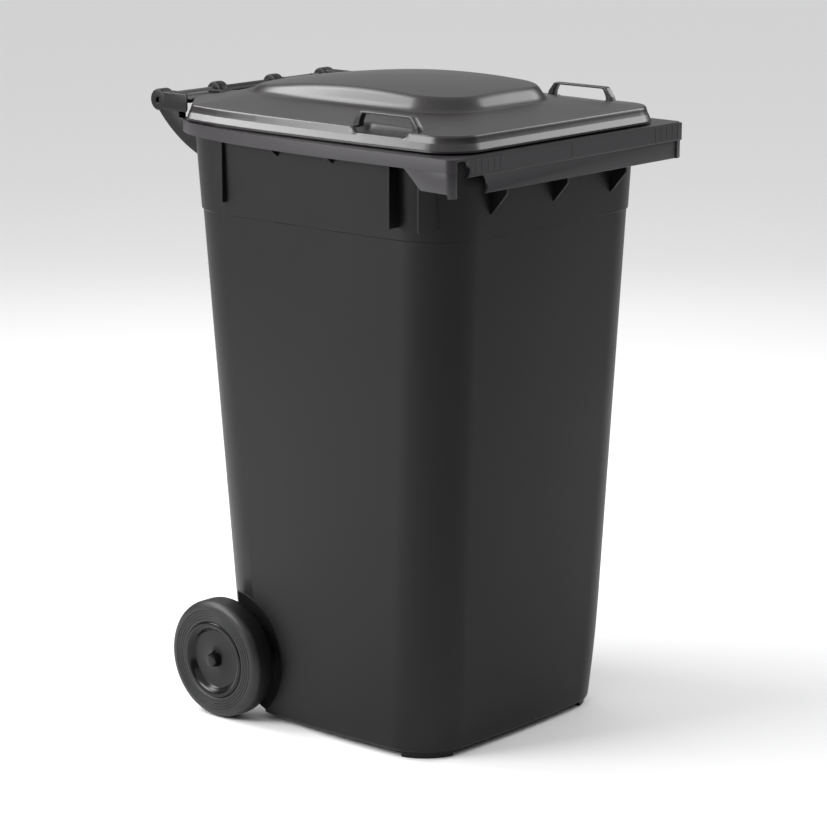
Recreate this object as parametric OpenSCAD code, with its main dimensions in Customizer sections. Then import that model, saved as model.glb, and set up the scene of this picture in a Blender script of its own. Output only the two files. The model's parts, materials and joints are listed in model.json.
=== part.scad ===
// Two-wheeled wheelie bin of the 240 litre class.
// +Z is up and the front, with the lifting comb, faces -Y. The origin is on the floor,
// under the middle of the bin's bounding box.

/* [Overall] */
// Width over the lifting comb
overall_width = 580; // [500:5:700]
// Depth from the comb's face to the back of the hinge bosses
overall_depth = 725; // [620:5:880]
// Height of the rim's top face above the floor
rim_height = 990; // [820:5:1190]

/* [Tub] */
// Wall thickness of the tub
wall = 4; // [3:0.5:5]
// Reach of the side rims beyond the tub
rim_reach = 28; // [26:1:36]
// Reach of the comb in front of the tub
comb_reach = 36; // [30:1:50]
// Gap between the back wall and the hinge axis
handle_reach = 86.5; // [80:0.5:105]
// How much each side wall leans in from rim to floor
side_taper = 25; // [15:1:30]
// How much the front wall leans in from rim to floor
front_taper = 50; // [35:1:60]
// How much the back wall leans in from rim to floor
back_taper = 73; // [60:1:85]
// Radius of the tub's front upright corners
front_corner_r = 88; // [70:1:100]
// Radius of the tub's back upright corners
back_corner_r = 95; // [85:1:110]
// Height of the front feet
foot_height = 9; // [6:1:14]
// Height of the tub's lip above the rim
lip_height = 9; // [6:1:12]
// Height of the reinforcing band below the rim
band_drop = 140; // [120:5:200]
// How far the reinforcing band stands proud
band_proud = 2.5; // [1.5:0.5:4]

/* [Rim and comb] */
// Height of the side rim
rim_band = 20; // [16:1:26]
// Height of the lifting comb
comb_height = 59; // [50:1:70]
// Thickness of the rim's and the comb's plates
plate = 4; // [3:0.5:5]
// Height of the comb's upper band
upper_band = 30; // [24:1:34]
// Length of the long ribs below the side rims
rib_drop = 118; // [90:1:130]
// Thickness of the ribs
rib = 4; // [3:0.5:6]

/* [Handle and hinge] */
// Outer radius of the hinge bosses
boss_r = 18; // [16:0.5:22]
// Height of the hinge axis above the rim
axis_lift = 24; // [22:1:34]
// Radius of the handle bar and of the lid's hinge barrels
bar_r = 10; // [9:0.5:12]
// Radius of the hinge pins
pin_r = 5; // [4:0.5:6]
// Radial clearance of the lid on its hinge pins
pin_clearance = 0.08; // [0.04:0.01:0.1]
// Distance between the two inner bosses, middle to middle
lug_spacing = 136; // [120:1:170]
// Width of an inner boss
lug_width = 20; // [16:1:24]
// Width of an outer boss
cheek_width = 24; // [20:1:28]
// Distance from the tub's side to the outer face of a boss
cheek_inset = 53; // [45:1:65]

/* [Lid] */
// Thickness of the lid's shell
lid_wall = 4; // [3:0.5:5]
// How far the lid's sides sit inside the rim's edge
lid_set_in = 22; // [18:1:24]
// Height of the lid's skirt
skirt_height = 27; // [22:1:32]
// Gap between the skirt and the rim
skirt_gap = 3; // [2:0.5:5]
// Rise of the lid's crown above the skirt
crown_rise = 13; // [8:1:20]
// Height of the raised panel's middle above the crown
panel_rise = 33; // [24:1:40]
// Half the width of the raised panel's top
panel_half = 129; // [110:1:140]
// Length of a lid grab
grab_length = 140; // [110:1:170]
// Height of the gap under a lid grab
grab_gap = 17; // [14:1:24]

/* [Wheels] */
// Radius of a wheel over its tyre
wheel_r = 100; // [90:1:125]
// Width of a tyre
tyre_width = 48; // [40:1:54]
// Radius at which the tyre sits on the hub
tyre_seat_r = 65; // [55:1:75]
// Radius of the axle
axle_r = 10; // [8:0.5:12]
// Radial clearance of the wheel and the webs on the axle
axle_clearance = 0.08; // [0.04:0.01:0.1]
// Distance of the axle ahead of the back wall's foot
axle_set_in = 22.5; // [20:0.5:30]
// Radial travel of the latch pin that holds a wheel on the axle
latch_travel = 2.4; // [2:0.1:3]
// Radius of the latch pin
latch_r = 3; // [2.5:0.25:3.5]

/* [Hidden] */
$fn = 48;
hull_fn = 32;
cut = 1;
far = 400;
hull_slab = 0.2;

// Places along Y and Z
front_y = -overall_depth / 2;
hinge_y = overall_depth / 2 - boss_r;
hinge_z = rim_height + axis_lift;
tub_front = front_y + comb_reach;
tub_back = hinge_y - handle_reach;
base_back = tub_back - back_taper;
tub_half = overall_width / 2 - rim_reach;
base_half = tub_half - side_taper;
lip_z = rim_height + lip_height;
comb_z = rim_height - comb_height;
band_z = rim_height - band_drop;

// Rounding-in of the walls near the floor
curl_height = 200;
curl_in = 5;

// Front feet: how far they stay inside the corner, and how short of its flat sides they stop
foot_inset = 6;
foot_cut = 18;

// Rim outline: bulge of the sides, and how far it pulls in towards the back
rim_bulge = 4;
rim_pull = 14;

// Comb: ends of its two bands, corner boxes and front gussets
upper_end = 37;
lower_end = 82;
lower_set_back = 2;
box_bottom = comb_z + 7;
box_reach = front_y + 95;
box_back = 22;
gusset_x = 150;
gusset_drop = 70;
gusset_foot = 102;

// Ribs under the side rims
front_ribs = [front_y + 70, front_y + 130];
back_rib = tub_back - 120;
small_ribs = [front_y + 262, front_y + 380];
small_rib_drop = 36;

// Axle, wheels and the recesses that hold them
axle_y = base_back - axle_set_in;
axle_z = wheel_r;
wheel_out = overall_width / 2 - 7;
wheel_in = wheel_out - tyre_width;
well_x = wheel_in - 9;
well_r = wheel_r + 26;
side_web = 8;
inner_web = 6;
inner_web_x = 90;
hub_inner_x = well_x + 5;
heel_r = wheel_r + 15;
heel_y = axle_y - wheel_r;
heel_top = axle_z + 60;
heel_step = axle_z + 24;
bay_front = 58;
bay_slope = 12;
bay_shoulder = 22;
bay_rise = 50;
bay_top = 60;

// Hinge
boss_out = tub_half - cheek_inset;
cheek_in = boss_out - cheek_width;
lug_x = lug_spacing / 2;
lug_in = lug_x - lug_width / 2;
lug_out = lug_x + lug_width / 2;
side_gap = 0.6;
barrel_in = lug_out + side_gap;
barrel_out = cheek_in - side_gap;
pin_depth = 16;
pin_head = 14;
sweep_drop = 88;
cheek_foot = 15;
cheek_bulge = 8;
arm_top = 3;
back_ledge = 15;
tail_reach = 40;
web_under = 28;
mouth_inset = 16;
lip_inset = 12;

// Lid
lid_half = overall_width / 2 - lid_set_in;
skirt_z = rim_height + skirt_gap;
skirt_top = skirt_z + skirt_height;
crown_z = skirt_top + crown_rise;
panel_z = crown_z + panel_rise;
skirt_lean = 10;
lid_front = front_y + 14;
lid_back = hinge_y - 26.5;
back_half = 160;
lid_corner_r = 50;
lid_bow = 5;
lid_pull = 22;
lid_tail = 20;
notch_r = lug_out + 4;
notch_depth = 82;
panel_front = lid_front + 128;
panel_back = tub_back - 5;
panel_slope = 24;
panel_foot_r = 80;
panel_top_r = 60;
panel_tail_r = 20;
panel_sink = 14;
panel_front_drop = 16;
panel_rear_drop = 25;
grab_x = lid_half - 28;
grab_mid = lid_front + 156;
grab_strap = 3.5;
grab_width = 12;
grab_foot_z = skirt_top + 1;

// Wheel latch
latch_x = wheel_in + 20;
groove_depth = 2.6;
groove_half = latch_r + 0.4;
latch_slide = 0.1;
latch_tip = axle_r - groove_depth + 0.3;
latch_collar_r = latch_r + 1.5;
latch_shoulder = 20;
latch_length = 14;
spring_length = 12;
plug_length = 4;
barrel_r = 22;
latch_room = spring_length + plug_length + 4;
wire_r = 0.4;
spring_turns = 6;
coil_r = latch_collar_r - wire_r - 0.3;
coil_low = latch_shoulder + 2.2 + wire_r;
coil_high = latch_shoulder + spring_length - wire_r - 0.1;

// Shares of one level of the tub's outline, at height z
function lean(z) = 1 - z / rim_height;
function curl(z) = z < curl_height ? curl_in * pow(1 - z / curl_height, 2) : 0;
function half_at(z) = tub_half - side_taper * lean(z) - curl(z);
function front_at(z) = tub_front + front_taper * lean(z) + curl(z);
function back_at(z) = tub_back - back_taper * lean(z) - curl(z);

// Thin rounded slab of the tub's outline at height z, moved inwards by inset
module tub_level(z, inset) {
    front_r = front_corner_r - inset;
    back_r = back_corner_r - inset;
    posts = [[front_r, front_at(z) + inset + front_r], [back_r, back_at(z) - inset - back_r]];
    for (sx = [-1, 1], p = posts)
        translate([sx * (half_at(z) - inset - p[0]), p[1], z - hull_slab])
            cylinder(r = p[0], h = hull_slab, $fn = hull_fn);
}

// Solid between two heights with the tub's outline, moved inwards by inset
module tub_form(low, high, inset) {
    steps = [for (z = [low, 50, 110, curl_height, high]) if (z >= low && z <= high) z];
    hull()
        for (z = steps)
            tub_level(z, inset);
}

// Upright plate across X between two distances, drawn in the Y-Z plane
module across(from_x, to_x) {
    translate([from_x, 0, 0])
        rotate([90, 0, 90])
            linear_extrude(to_x - from_x)
                children();
}

module both_sides() {
    children();
    mirror([1, 0, 0])
        children();
}

module axle_line(from_x, to_x, r) {
    translate([from_x, axle_y, axle_z])
        rotate([0, 90, 0])
            cylinder(r = r, h = to_x - from_x);
}

module hinge_line(from_x, to_x, r) {
    translate([from_x, hinge_y, hinge_z])
        rotate([0, 90, 0])
            cylinder(r = r, h = to_x - from_x);
}

// Rounded heel that clears the floor behind the wheels when the bin is tipped
module heel_profile(grow) {
    difference() {
        polygon([[heel_y, -cut], [far, -cut], [far, heel_top + grow],
            [heel_y + heel_r + 24 - grow, heel_top + grow],
            [heel_y + heel_r - grow, heel_step], [heel_y, heel_step]]);
        translate([heel_y, foot_height + heel_r])
            circle(r = heel_r - grow, $fn = 96);
    }
}

// Open bay under the back of the tub that the axle crosses
module bay_profile(grow) {
    polygon([[axle_y - bay_front - grow, -cut], [axle_y - bay_front + bay_slope - grow, axle_z],
        [axle_y - bay_shoulder - grow, axle_z + bay_rise - 4 + grow],
        [axle_y + 40, axle_z + bay_top + grow], [far, axle_z + bay_top + grow], [far, -cut]]);
}

// Main shell: walls, stepped floor, axle webs, wheel recesses and front feet
module tub() {
    color("#302B2B")
    difference() {
        union() {
            difference() {
                union() {
                    tub_form(foot_height, rim_height, 0);
                    tub_form(band_z, rim_height - cut, -band_proud);
                }
                across(-far, far)
                    heel_profile(0);
                both_sides()
                    axle_line(well_x, far, well_r);
                across(inner_web_x + inner_web / 2, well_x - side_web)
                    bay_profile(0);
                across(-inner_web_x + inner_web / 2, inner_web_x - inner_web / 2)
                    bay_profile(0);
                across(side_web - well_x, -inner_web_x - inner_web / 2)
                    bay_profile(0);
                tub_cavity();
            }
            mouth();
            feet();
        }
        axle_line(-far, far, axle_r + axle_clearance);
    }
}

// Hollow of the tub, which steps over the axle bay and between the wheel recesses
module tub_cavity() {
    difference() {
        tub_form(foot_height + wall, rim_height + cut, wall);
        across(-far, far)
            heel_profile(wall);
        across(-far, far)
            bay_profile(wall);
        both_sides()
            axle_line(well_x - wall, far, well_r + wall);
    }
}

// Ledge around the mouth and the upright lip that stands inside the lid
module mouth() {
    difference() {
        union() {
            tub_form(rim_height - plate, rim_height - cut, wall / 2);
            tub_form(rim_height - plate / 2, lip_z, lip_inset);
        }
        tub_form(rim_height - plate - cut, lip_z + cut, mouth_inset);
    }
}

// Quarter-round pads under the front corners
module feet() {
    foot_r = front_corner_r - foot_inset;
    foot_x = half_at(foot_height) - front_corner_r;
    foot_y = front_at(foot_height) + front_corner_r;
    both_sides()
        intersection() {
            translate([foot_x, foot_y, 0])
                cylinder(r = foot_r, h = foot_height + wall / 2);
            translate([foot_x + foot_cut, foot_y - foot_cut - 2 * foot_r, -cut])
                cube([2 * foot_r, 2 * foot_r, 2 * far]);
        }
}

// Plan outline of the rim, moved inwards by inset
module rim_outline(inset) {
    side = overall_width / 2;
    edge = [[side, front_y], [side + rim_bulge / 2, front_y + 110],
        [side + rim_bulge, front_y + 230], [side - 1, front_y + 400],
        [side - rim_pull, back_rib], [side - 2 * rim_pull, tub_back - 60],
        [tub_half - 20, tub_back - 20], [boss_out, tub_back + 2 * back_ledge]];
    right = concat(edge, [[boss_out, tub_back + back_ledge]]);
    left = [for (i = [len(right) - 1 : -1 : 0]) [-right[i][0], right[i][1]]];
    if (inset == 0)
        polygon(concat(right, left));
    else
        offset(delta = -inset)
            polygon(concat(right, left));
}

// Turned-down rim, lifting comb with its corner boxes, and the ribs under them
module lifting_rim() {
    color("#5E5B66")
    difference() {
        union() {
            translate([0, 0, rim_height - plate])
                linear_extrude(plate)
                    rim_outline(0);
            translate([0, 0, rim_height - rim_band])
                linear_extrude(rim_band - plate / 2)
                    difference() {
                        rim_outline(0);
                        rim_outline(plate);
                    }
            comb_face();
            both_sides() {
                corner_box();
                side_ribs();
            }
            for (x = [-gusset_x, 0, gusset_x])
                front_gusset(x);
        }
        tub_form(band_z - rib_drop, rim_height + cut, 0);
        tub_form(band_z, rim_height + cut, -band_proud);
    }
}

// Stepped face of the comb: a wide upper band over a shorter, set-back lower band
module comb_face() {
    upper_half = overall_width / 2 - upper_end;
    lower_half = overall_width / 2 - lower_end;
    translate([-upper_half, front_y, rim_height - upper_band])
        cube([2 * upper_half, plate + 2, upper_band - plate / 2]);
    translate([-lower_half, front_y + lower_set_back, comb_z])
        cube([2 * lower_half, plate + 2, comb_height - upper_band + cut]);
}

// Side plate at the comb's end, with the two walls that stiffen it from inside
module corner_box() {
    side = overall_width / 2;
    top = rim_height - plate / 2;
    across(side - plate, side)
        polygon([[front_y, comb_z + 1], [front_y + 5, box_bottom - 1],
            [box_reach - 34, box_bottom + 1], [box_reach, box_bottom + 29],
            [box_reach, top], [front_y, top]]);
    translate([side - lower_end, front_y + box_back, box_bottom])
        cube([lower_end - plate / 2, plate, top - box_bottom]);
    translate([side - upper_end - 2, front_y + cut, box_bottom])
        cube([plate, box_back, top - box_bottom]);
}

// Long ribs and small gussets that brace the side rim against the tub
module side_ribs() {
    inner = base_half;
    outer = overall_width / 2 - plate - cut;
    ribs = [[front_ribs[0], outer], [front_ribs[1], outer], [back_rib, outer - rim_pull]];
    for (r = ribs)
        translate([inner, r[0] - rib / 2, rim_height - rib_drop])
            cube([r[1] - inner, rib, rib_drop - plate / 2]);
    for (y = small_ribs)
        translate([0, y + rib / 2, 0])
            rotate([90, 0, 0])
                linear_extrude(rib)
                    polygon([[inner, rim_height - small_rib_drop],
                        [tub_half, rim_height - small_rib_drop],
                        [outer, rim_height - rim_band], [outer, rim_height - plate / 2],
                        [inner, rim_height - plate / 2]]);
}

// Triangular plate between the comb's back and the tub
module front_gusset(x) {
    across(x - rib / 2, x + rib / 2)
        polygon([[tub_front + wall + cut, rim_height - gusset_foot],
            [tub_front, rim_height - gusset_foot],
            [front_y + plate, rim_height - gusset_drop], [front_y + plate, rim_height - plate / 2],
            [tub_front + wall + cut, rim_height - plate / 2]]);
}

// Concave sweep under an inner boss, from the back wall to a point below the hinge axis
module sweep_cut(under) {
    reach = handle_reach - 1;
    drop = sweep_drop - under;
    sweep_r = (reach * reach + drop * drop) / (2 * drop);
    translate([hinge_y - 6, hinge_z - under - sweep_r])
        circle(r = sweep_r, $fn = 96);
}

// Point on the cheek's lower edge, a share of the way from the back wall to the outer boss
function cheek_edge(share) =
    let (foot = [tub_back - cheek_foot, hinge_z - sweep_drop],
        run = [hinge_y, hinge_z - boss_r - 1] - foot,
        out = cheek_bulge * 4 * share * (1 - share) / norm(run))
    foot + run * share + out * [run[1], -run[0]];

// Plan distance of the lid's slanting rear edge behind the bin's middle, at x
function lid_edge_y(x) =
    lid_back - (x - back_half) * (lid_back - tub_back + lid_tail) / (lid_half - lid_pull - back_half);

// Plate from the back wall to an outer boss, with a thicker arm along its top
module cheek() {
    root = tub_back - 40;
    tail = tub_back + tail_reach;
    arm_gap = 8;
    edge = [for (i = [0 : 8]) cheek_edge(i / 8)];
    across(boss_out - cheek_width + 4, boss_out - 2.5)
        polygon(concat([[root, hinge_z - sweep_drop]], edge, [[hinge_y, hinge_z],
            [tail, hinge_z], [tail, rim_height], [root, rim_height]]));
    translate([0, 0, rim_height + arm_gap])
        linear_extrude(hinge_z + boss_r - arm_top - rim_height - arm_gap)
            polygon([[cheek_in + 2, hinge_y], [boss_out, hinge_y],
                [boss_out, lid_edge_y(boss_out) + arm_gap],
                [cheek_in + 2, lid_edge_y(cheek_in + 2) + arm_gap]]);
}

// Web that carries an inner boss from the back wall, below the lid's back edge
module lug_web() {
    root = tub_back - 40;
    neck = 15;
    across(lug_in + 4, lug_out - 4)
        difference() {
            polygon([[root, hinge_z - sweep_drop], [root, rim_height - plate],
                [hinge_y - neck, rim_height - plate], [hinge_y - neck, hinge_z],
                [hinge_y, hinge_z], [hinge_y, hinge_z - sweep_drop]]);
            sweep_cut(notch_r - lug_out + web_under);
        }
}

// Handle: outer bosses on cheeks, inner bosses on webs, and the grip bar between them
module rear_handle() {
    color("#3A3639")
    difference() {
        union() {
            both_sides() {
                hinge_line(cheek_in, boss_out, boss_r);
                hinge_line(lug_in, lug_out, boss_r);
                cheek();
                lug_web();
            }
            hinge_line(-lug_in, lug_in, bar_r);
        }
        both_sides()
            hinge_line(lug_in - pin_depth, boss_out, pin_r + pin_clearance);
        both_sides()
            hinge_line(boss_out - pin_head, boss_out + cut, pin_r + 1);
        tub_form(band_z - rib_drop, rim_height + cut, 0);
        tub_form(band_z, rim_height + cut, -band_proud);
        rim_space();
    }
}

// Room that the rim takes, from its lower edge upwards
module rim_space() {
    translate([0, 0, rim_height - rim_band])
        linear_extrude(far)
            rim_outline(0);
}

// Hollow-ended pin that carries one side of the lid
module hinge_pin() {
    color("#202022")
    difference() {
        union() {
            hinge_line(lug_in - pin_depth + cut, boss_out - pin_head + 2, pin_r);
            hinge_line(boss_out - pin_head, boss_out - pin_head + 5, pin_r + 0.9);
        }
        hinge_line(boss_out - pin_head - 6, boss_out, 2.5);
    }
}

// Corner posts of the lid's outline at one height, moved inwards by inset
module lid_level(z, inset) {
    r = max(lid_corner_r - inset, 4);
    tail_r = 5;
    posts = [[lid_half - lid_bow - inset - r, lid_front + inset + r, r],
        [lid_half - inset - r, lid_front + 250, r],
        [lid_half - lid_bow - inset - r, tub_back - 145, r],
        [lid_half - 10 - inset - tail_r, tub_back - 80, tail_r],
        [lid_half - lid_pull - inset - tail_r, tub_back - lid_tail - tail_r, tail_r],
        [back_half - inset - tail_r, lid_back - inset - tail_r, tail_r]];
    for (p = posts, sx = [-1, 1])
        translate([sx * p[0], p[1], z - hull_slab])
            cylinder(r = p[2], h = hull_slab, $fn = hull_fn);
}

// Outer form of the lid's skirt and crown, moved inwards by inset
module lid_form(inset, drop) {
    hull() {
        lid_level(skirt_z + hull_slab - drop, inset);
        lid_level(skirt_top - inset, skirt_lean + inset);
        for (sx = [-1, 1], y = [panel_front - panel_slope + inset, panel_back])
            translate([sx * (panel_half + panel_slope - inset), y, crown_z - inset])
                cylinder(r = cut, h = hull_slab, $fn = hull_fn);
    }
}

// Thin round slab on each side, a post of the panel's hull, moved inwards by inset
module panel_post(half, y, r, z, inset) {
    for (sx = [-1, 1])
        translate([sx * (half - inset - r), y, z])
            cylinder(r = r, h = hull_slab, $fn = hull_fn);
}

// Domed panel in the middle of the lid, lower at its front and much lower at its rear
module panel_form(inset) {
    peak = panel_z - inset - hull_slab;
    foot_half = panel_half + panel_slope;
    foot_z = crown_z - panel_sink;
    foot_y = panel_front - panel_slope + inset + panel_foot_r;
    front_dome_y = panel_front + panel_top_r + 70;
    hull() {
        panel_post(foot_half, foot_y, panel_foot_r, foot_z, inset);
        panel_post(panel_half, panel_front + inset + panel_top_r, panel_top_r,
            peak - panel_front_drop, inset);
        panel_post(panel_half / 2, front_dome_y, panel_top_r, peak - 4, inset);
        panel_post(panel_half / 2, (panel_front + panel_back) / 2, panel_tail_r, peak, inset);
        panel_post(panel_half, panel_back - 2 * panel_tail_r, panel_tail_r,
            peak - panel_rear_drop, inset);
        panel_post(foot_half, panel_back - panel_tail_r, panel_tail_r, foot_z, inset);
    }
}

// Hand notch around the hinge axis, moved outwards by grow
module notch(grow) {
    translate([0, hinge_y, -cut])
        scale([1, (notch_depth + grow) / (notch_r + grow), 1])
            cylinder(r = notch_r + grow, h = 4 * far, $fn = 96);
}

// Lid shell with a hand notch at the back, joined to two hinge barrels
module lid() {
    color("#544D52")
    difference() {
        union() {
            difference() {
                union() {
                    lid_form(0, 0);
                    panel_form(0);
                }
                difference() {
                    union() {
                        lid_form(lid_wall, cut);
                        panel_form(lid_wall);
                    }
                    notch(lid_wall);
                }
                notch(0);
            }
            both_sides() {
                hinge_line(barrel_in, barrel_out, bar_r);
                barrel_web();
            }
        }
        both_sides()
            hinge_line(lug_in, boss_out, pin_r + pin_clearance);
    }
}

// Plate that joins the lid's back edge to a hinge barrel
module barrel_web() {
    translate([0, 0, hinge_z - 5])
        linear_extrude(7)
            polygon([[barrel_in, hinge_y], [barrel_out, hinge_y],
                [barrel_out, lid_back - 36], [back_half - 12, lid_back - 10], [barrel_in, lid_back - 10]]);
}

// Loop handle on one side of the lid
module lid_grab() {
    top_z = grab_foot_z + grab_gap;
    flare = 14;
    color("#5A5458")
    difference() {
        across(grab_x - grab_width / 2, grab_x + grab_width / 2)
            difference() {
                polygon([[grab_mid - grab_length / 2, grab_foot_z - 6],
                    [grab_mid - grab_length / 2 + 3, grab_foot_z + 4],
                    [grab_mid - grab_length / 2 + flare, top_z + grab_strap],
                    [grab_mid + grab_length / 2 - flare, top_z + grab_strap],
                    [grab_mid + grab_length / 2 - 3, grab_foot_z + 4],
                    [grab_mid + grab_length / 2, grab_foot_z - 6]]);
                polygon([[grab_mid - grab_length / 2 + flare, grab_foot_z - 7],
                    [grab_mid - grab_length / 2 + flare, grab_foot_z + 4],
                    [grab_mid - grab_length / 2 + flare + 6, top_z],
                    [grab_mid + grab_length / 2 - flare - 6, top_z],
                    [grab_mid + grab_length / 2 - flare, grab_foot_z + 4],
                    [grab_mid + grab_length / 2 - flare, grab_foot_z - 7]]);
            }
        lid_form(0, 0);
    }
}

// Round bar with a locking groove near each end
module axle() {
    color("#9A9DA0")
    difference() {
        axle_line(3 - wheel_out, wheel_out - 3, axle_r);
        both_sides()
            translate([latch_x - groove_half, axle_y, axle_z])
                rotate([0, 90, 0])
                    difference() {
                        cylinder(r = axle_r + cut, h = 2 * groove_half);
                        translate([0, 0, -cut])
                            cylinder(r = axle_r - groove_depth, h = 2 * groove_half + 2 * cut);
                    }
    }
}

module axle_washer() {
    color("#1A1A1C")
    difference() {
        axle_line(well_x + 0.3, hub_inner_x - 0.4, axle_r + 8);
        axle_line(well_x - cut, hub_inner_x + cut, axle_r + 0.3);
    }
}

// Turned section of a wheel piece, drawn as radius against distance out along X
module turned(r_fn = 96) {
    translate([0, axle_y, axle_z])
        rotate([0, 90, 0])
            rotate_extrude($fn = r_fn)
                children();
}

// Solid tyre with rounded shoulders and shallow grooves on its side
module tyre() {
    shoulder = 12;
    color("#101012")
    turned()
        difference() {
            translate([tyre_seat_r, wheel_in])
                square([wheel_r - tyre_seat_r, tyre_width]);
            for (x = [wheel_in, wheel_out])
                translate([wheel_r, x])
                    difference() {
                        square(2 * shoulder, center = true);
                        for (side = [-1, 1])
                            translate([-shoulder, side * shoulder])
                                circle(r = shoulder);
                    }
            for (groove = [0 : 2])
                translate([wheel_r - shoulder - 3 - 4 * groove, wheel_out])
                    circle(r = 0.8, $fn = 24);
        }
}

// Latch hole and the step that the latch pin's collar rests on
module latch_bores() {
    translate([latch_x, axle_y, axle_z]) {
        cylinder(r = latch_r + latch_slide, h = latch_shoulder + cut);
        translate([0, 0, latch_shoulder])
            cylinder(r = latch_collar_r + latch_slide, h = latch_room);
    }
}

// Ribbed hub with a blind bore, a closed outer disc and a raised centre
module wheel_hub() {
    rim_wall = 6;
    disc = 5;
    disc_x = wheel_out - 14;
    knob_r = 11;
    knob_out = overall_width / 2 - 1;
    latch_top = latch_shoulder + latch_room - cut;
    color("#141416")
    difference() {
        union() {
            turned()
                polygon([[0, hub_inner_x], [barrel_r, hub_inner_x], [barrel_r, disc_x],
                    [tyre_seat_r - rim_wall, disc_x], [tyre_seat_r - rim_wall, wheel_in + 2],
                    [tyre_seat_r, wheel_in + 2], [tyre_seat_r, wheel_out - 2],
                    [tyre_seat_r - 5, wheel_out + 1], [tyre_seat_r - 12, wheel_out - 1],
                    [tyre_seat_r - 18, disc_x + disc], [knob_r + 2, disc_x + disc],
                    [knob_r, knob_out - 1], [knob_r - 2, knob_out], [0, knob_out]]);
            for (turn = [0 : 60 : 300])
                translate([0, axle_y, axle_z])
                    rotate([turn + 30, 0, 0])
                        translate([wheel_in + 6, -2, barrel_r - 2])
                            cube([disc_x - wheel_in - 5, 4, tyre_seat_r - rim_wall - barrel_r + 4]);
            translate([latch_x - 8, axle_y - 8, axle_z + 14])
                cube([16, 16, latch_top - 14]);
        }
        axle_line(0, wheel_out - 2, axle_r + axle_clearance);
        latch_bores();
    }
}

// Collared pin that drops into the axle's groove
module latch_pin() {
    color("#B8BABD")
    translate([latch_x, axle_y, axle_z]) {
        translate([0, 0, latch_tip])
            cylinder(r = latch_r, h = latch_length);
        translate([0, 0, latch_shoulder + 0.1])
            cylinder(r = latch_collar_r, h = 2);
    }
}

// Point at an angle around the wire of the spring, a share of the way up its coils
function coil_point(share, angle) =
    let (turn = 360 * spring_turns * share,
        r = coil_r + wire_r * cos(angle),
        z = coil_low + (coil_high - coil_low) * share + wire_r * sin(angle))
    [r * cos(turn), r * sin(turn), z];

// Coil spring that presses the latch pin into the groove
module latch_spring() {
    sides = 8;
    steps = 14 * spring_turns;
    points = [for (i = [0 : steps], j = [0 : sides - 1]) coil_point(i / steps, -j * 360 / sides)];
    walls = [for (i = [0 : steps - 1], j = [0 : sides - 1])
        let (k = (j + 1) % sides)
        [i * sides + j, i * sides + k, (i + 1) * sides + k, (i + 1) * sides + j]];
    low_end = [for (j = [sides - 1 : -1 : 0]) j];
    high_end = [for (j = [0 : sides - 1]) steps * sides + j];
    color("#C4C6C8")
    translate([latch_x, axle_y, axle_z])
        polyhedron(points = points, faces = concat(walls, [low_end, high_end]));
}

module latch_plug() {
    color("#2A2A2C")
    translate([latch_x, axle_y, axle_z + latch_shoulder + spring_length])
        cylinder(r = latch_collar_r + latch_slide - 0.02, h = plug_length);
}

module left() {
    mirror([1, 0, 0])
        children();
}

tub();
lifting_rim();
rear_handle();
left() hinge_pin();  // hinge_pin_left
hinge_pin();  // hinge_pin_right
axle();
left() axle_washer();  // axle_washer_left
axle_washer();  // axle_washer_right
lid();
left() lid_grab();  // lid_grab_left
lid_grab();  // lid_grab_right
left() wheel_hub();  // wheel_hub_left
wheel_hub();  // wheel_hub_right
left() tyre();  // tyre_left
tyre();  // tyre_right
left() latch_pin();  // latch_pin_left
latch_pin();  // latch_pin_right
left() latch_spring();  // latch_spring_left
latch_spring();  // latch_spring_right
left() latch_plug();  // latch_plug_left
latch_plug();  // latch_plug_right
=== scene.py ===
import json
import math

import bmesh
import bpy
from bpy.props import FloatProperty, FloatVectorProperty, PointerProperty
from bpy.types import Operator, Panel, PropertyGroup
from mathutils import Matrix, Vector
from mathutils.kdtree import KDTree


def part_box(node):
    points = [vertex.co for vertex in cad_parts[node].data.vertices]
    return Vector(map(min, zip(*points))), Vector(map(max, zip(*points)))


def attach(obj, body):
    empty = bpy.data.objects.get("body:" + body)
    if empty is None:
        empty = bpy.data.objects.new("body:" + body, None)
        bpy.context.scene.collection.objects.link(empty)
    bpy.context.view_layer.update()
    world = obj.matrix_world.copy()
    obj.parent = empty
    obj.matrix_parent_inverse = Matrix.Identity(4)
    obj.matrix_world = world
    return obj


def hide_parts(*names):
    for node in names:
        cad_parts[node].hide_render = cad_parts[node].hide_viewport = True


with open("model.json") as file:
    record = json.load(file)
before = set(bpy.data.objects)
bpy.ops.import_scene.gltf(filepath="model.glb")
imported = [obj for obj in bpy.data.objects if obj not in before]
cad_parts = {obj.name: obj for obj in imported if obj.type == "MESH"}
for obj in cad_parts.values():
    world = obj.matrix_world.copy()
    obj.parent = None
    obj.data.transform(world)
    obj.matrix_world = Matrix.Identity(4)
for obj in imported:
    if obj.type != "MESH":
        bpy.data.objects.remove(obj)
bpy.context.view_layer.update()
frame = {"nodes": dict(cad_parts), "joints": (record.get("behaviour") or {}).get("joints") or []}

bl_info = {
    "name": "Wheelie bin",
    "version": (1, 0, 0),
    "blender": (4, 5, 0),
    "location": "3D View > Sidebar > Bin",
    "description": "Builds the visible mouldings, wheels and hardware of a two-wheeled bin",
    "category": "Object",
}

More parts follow.
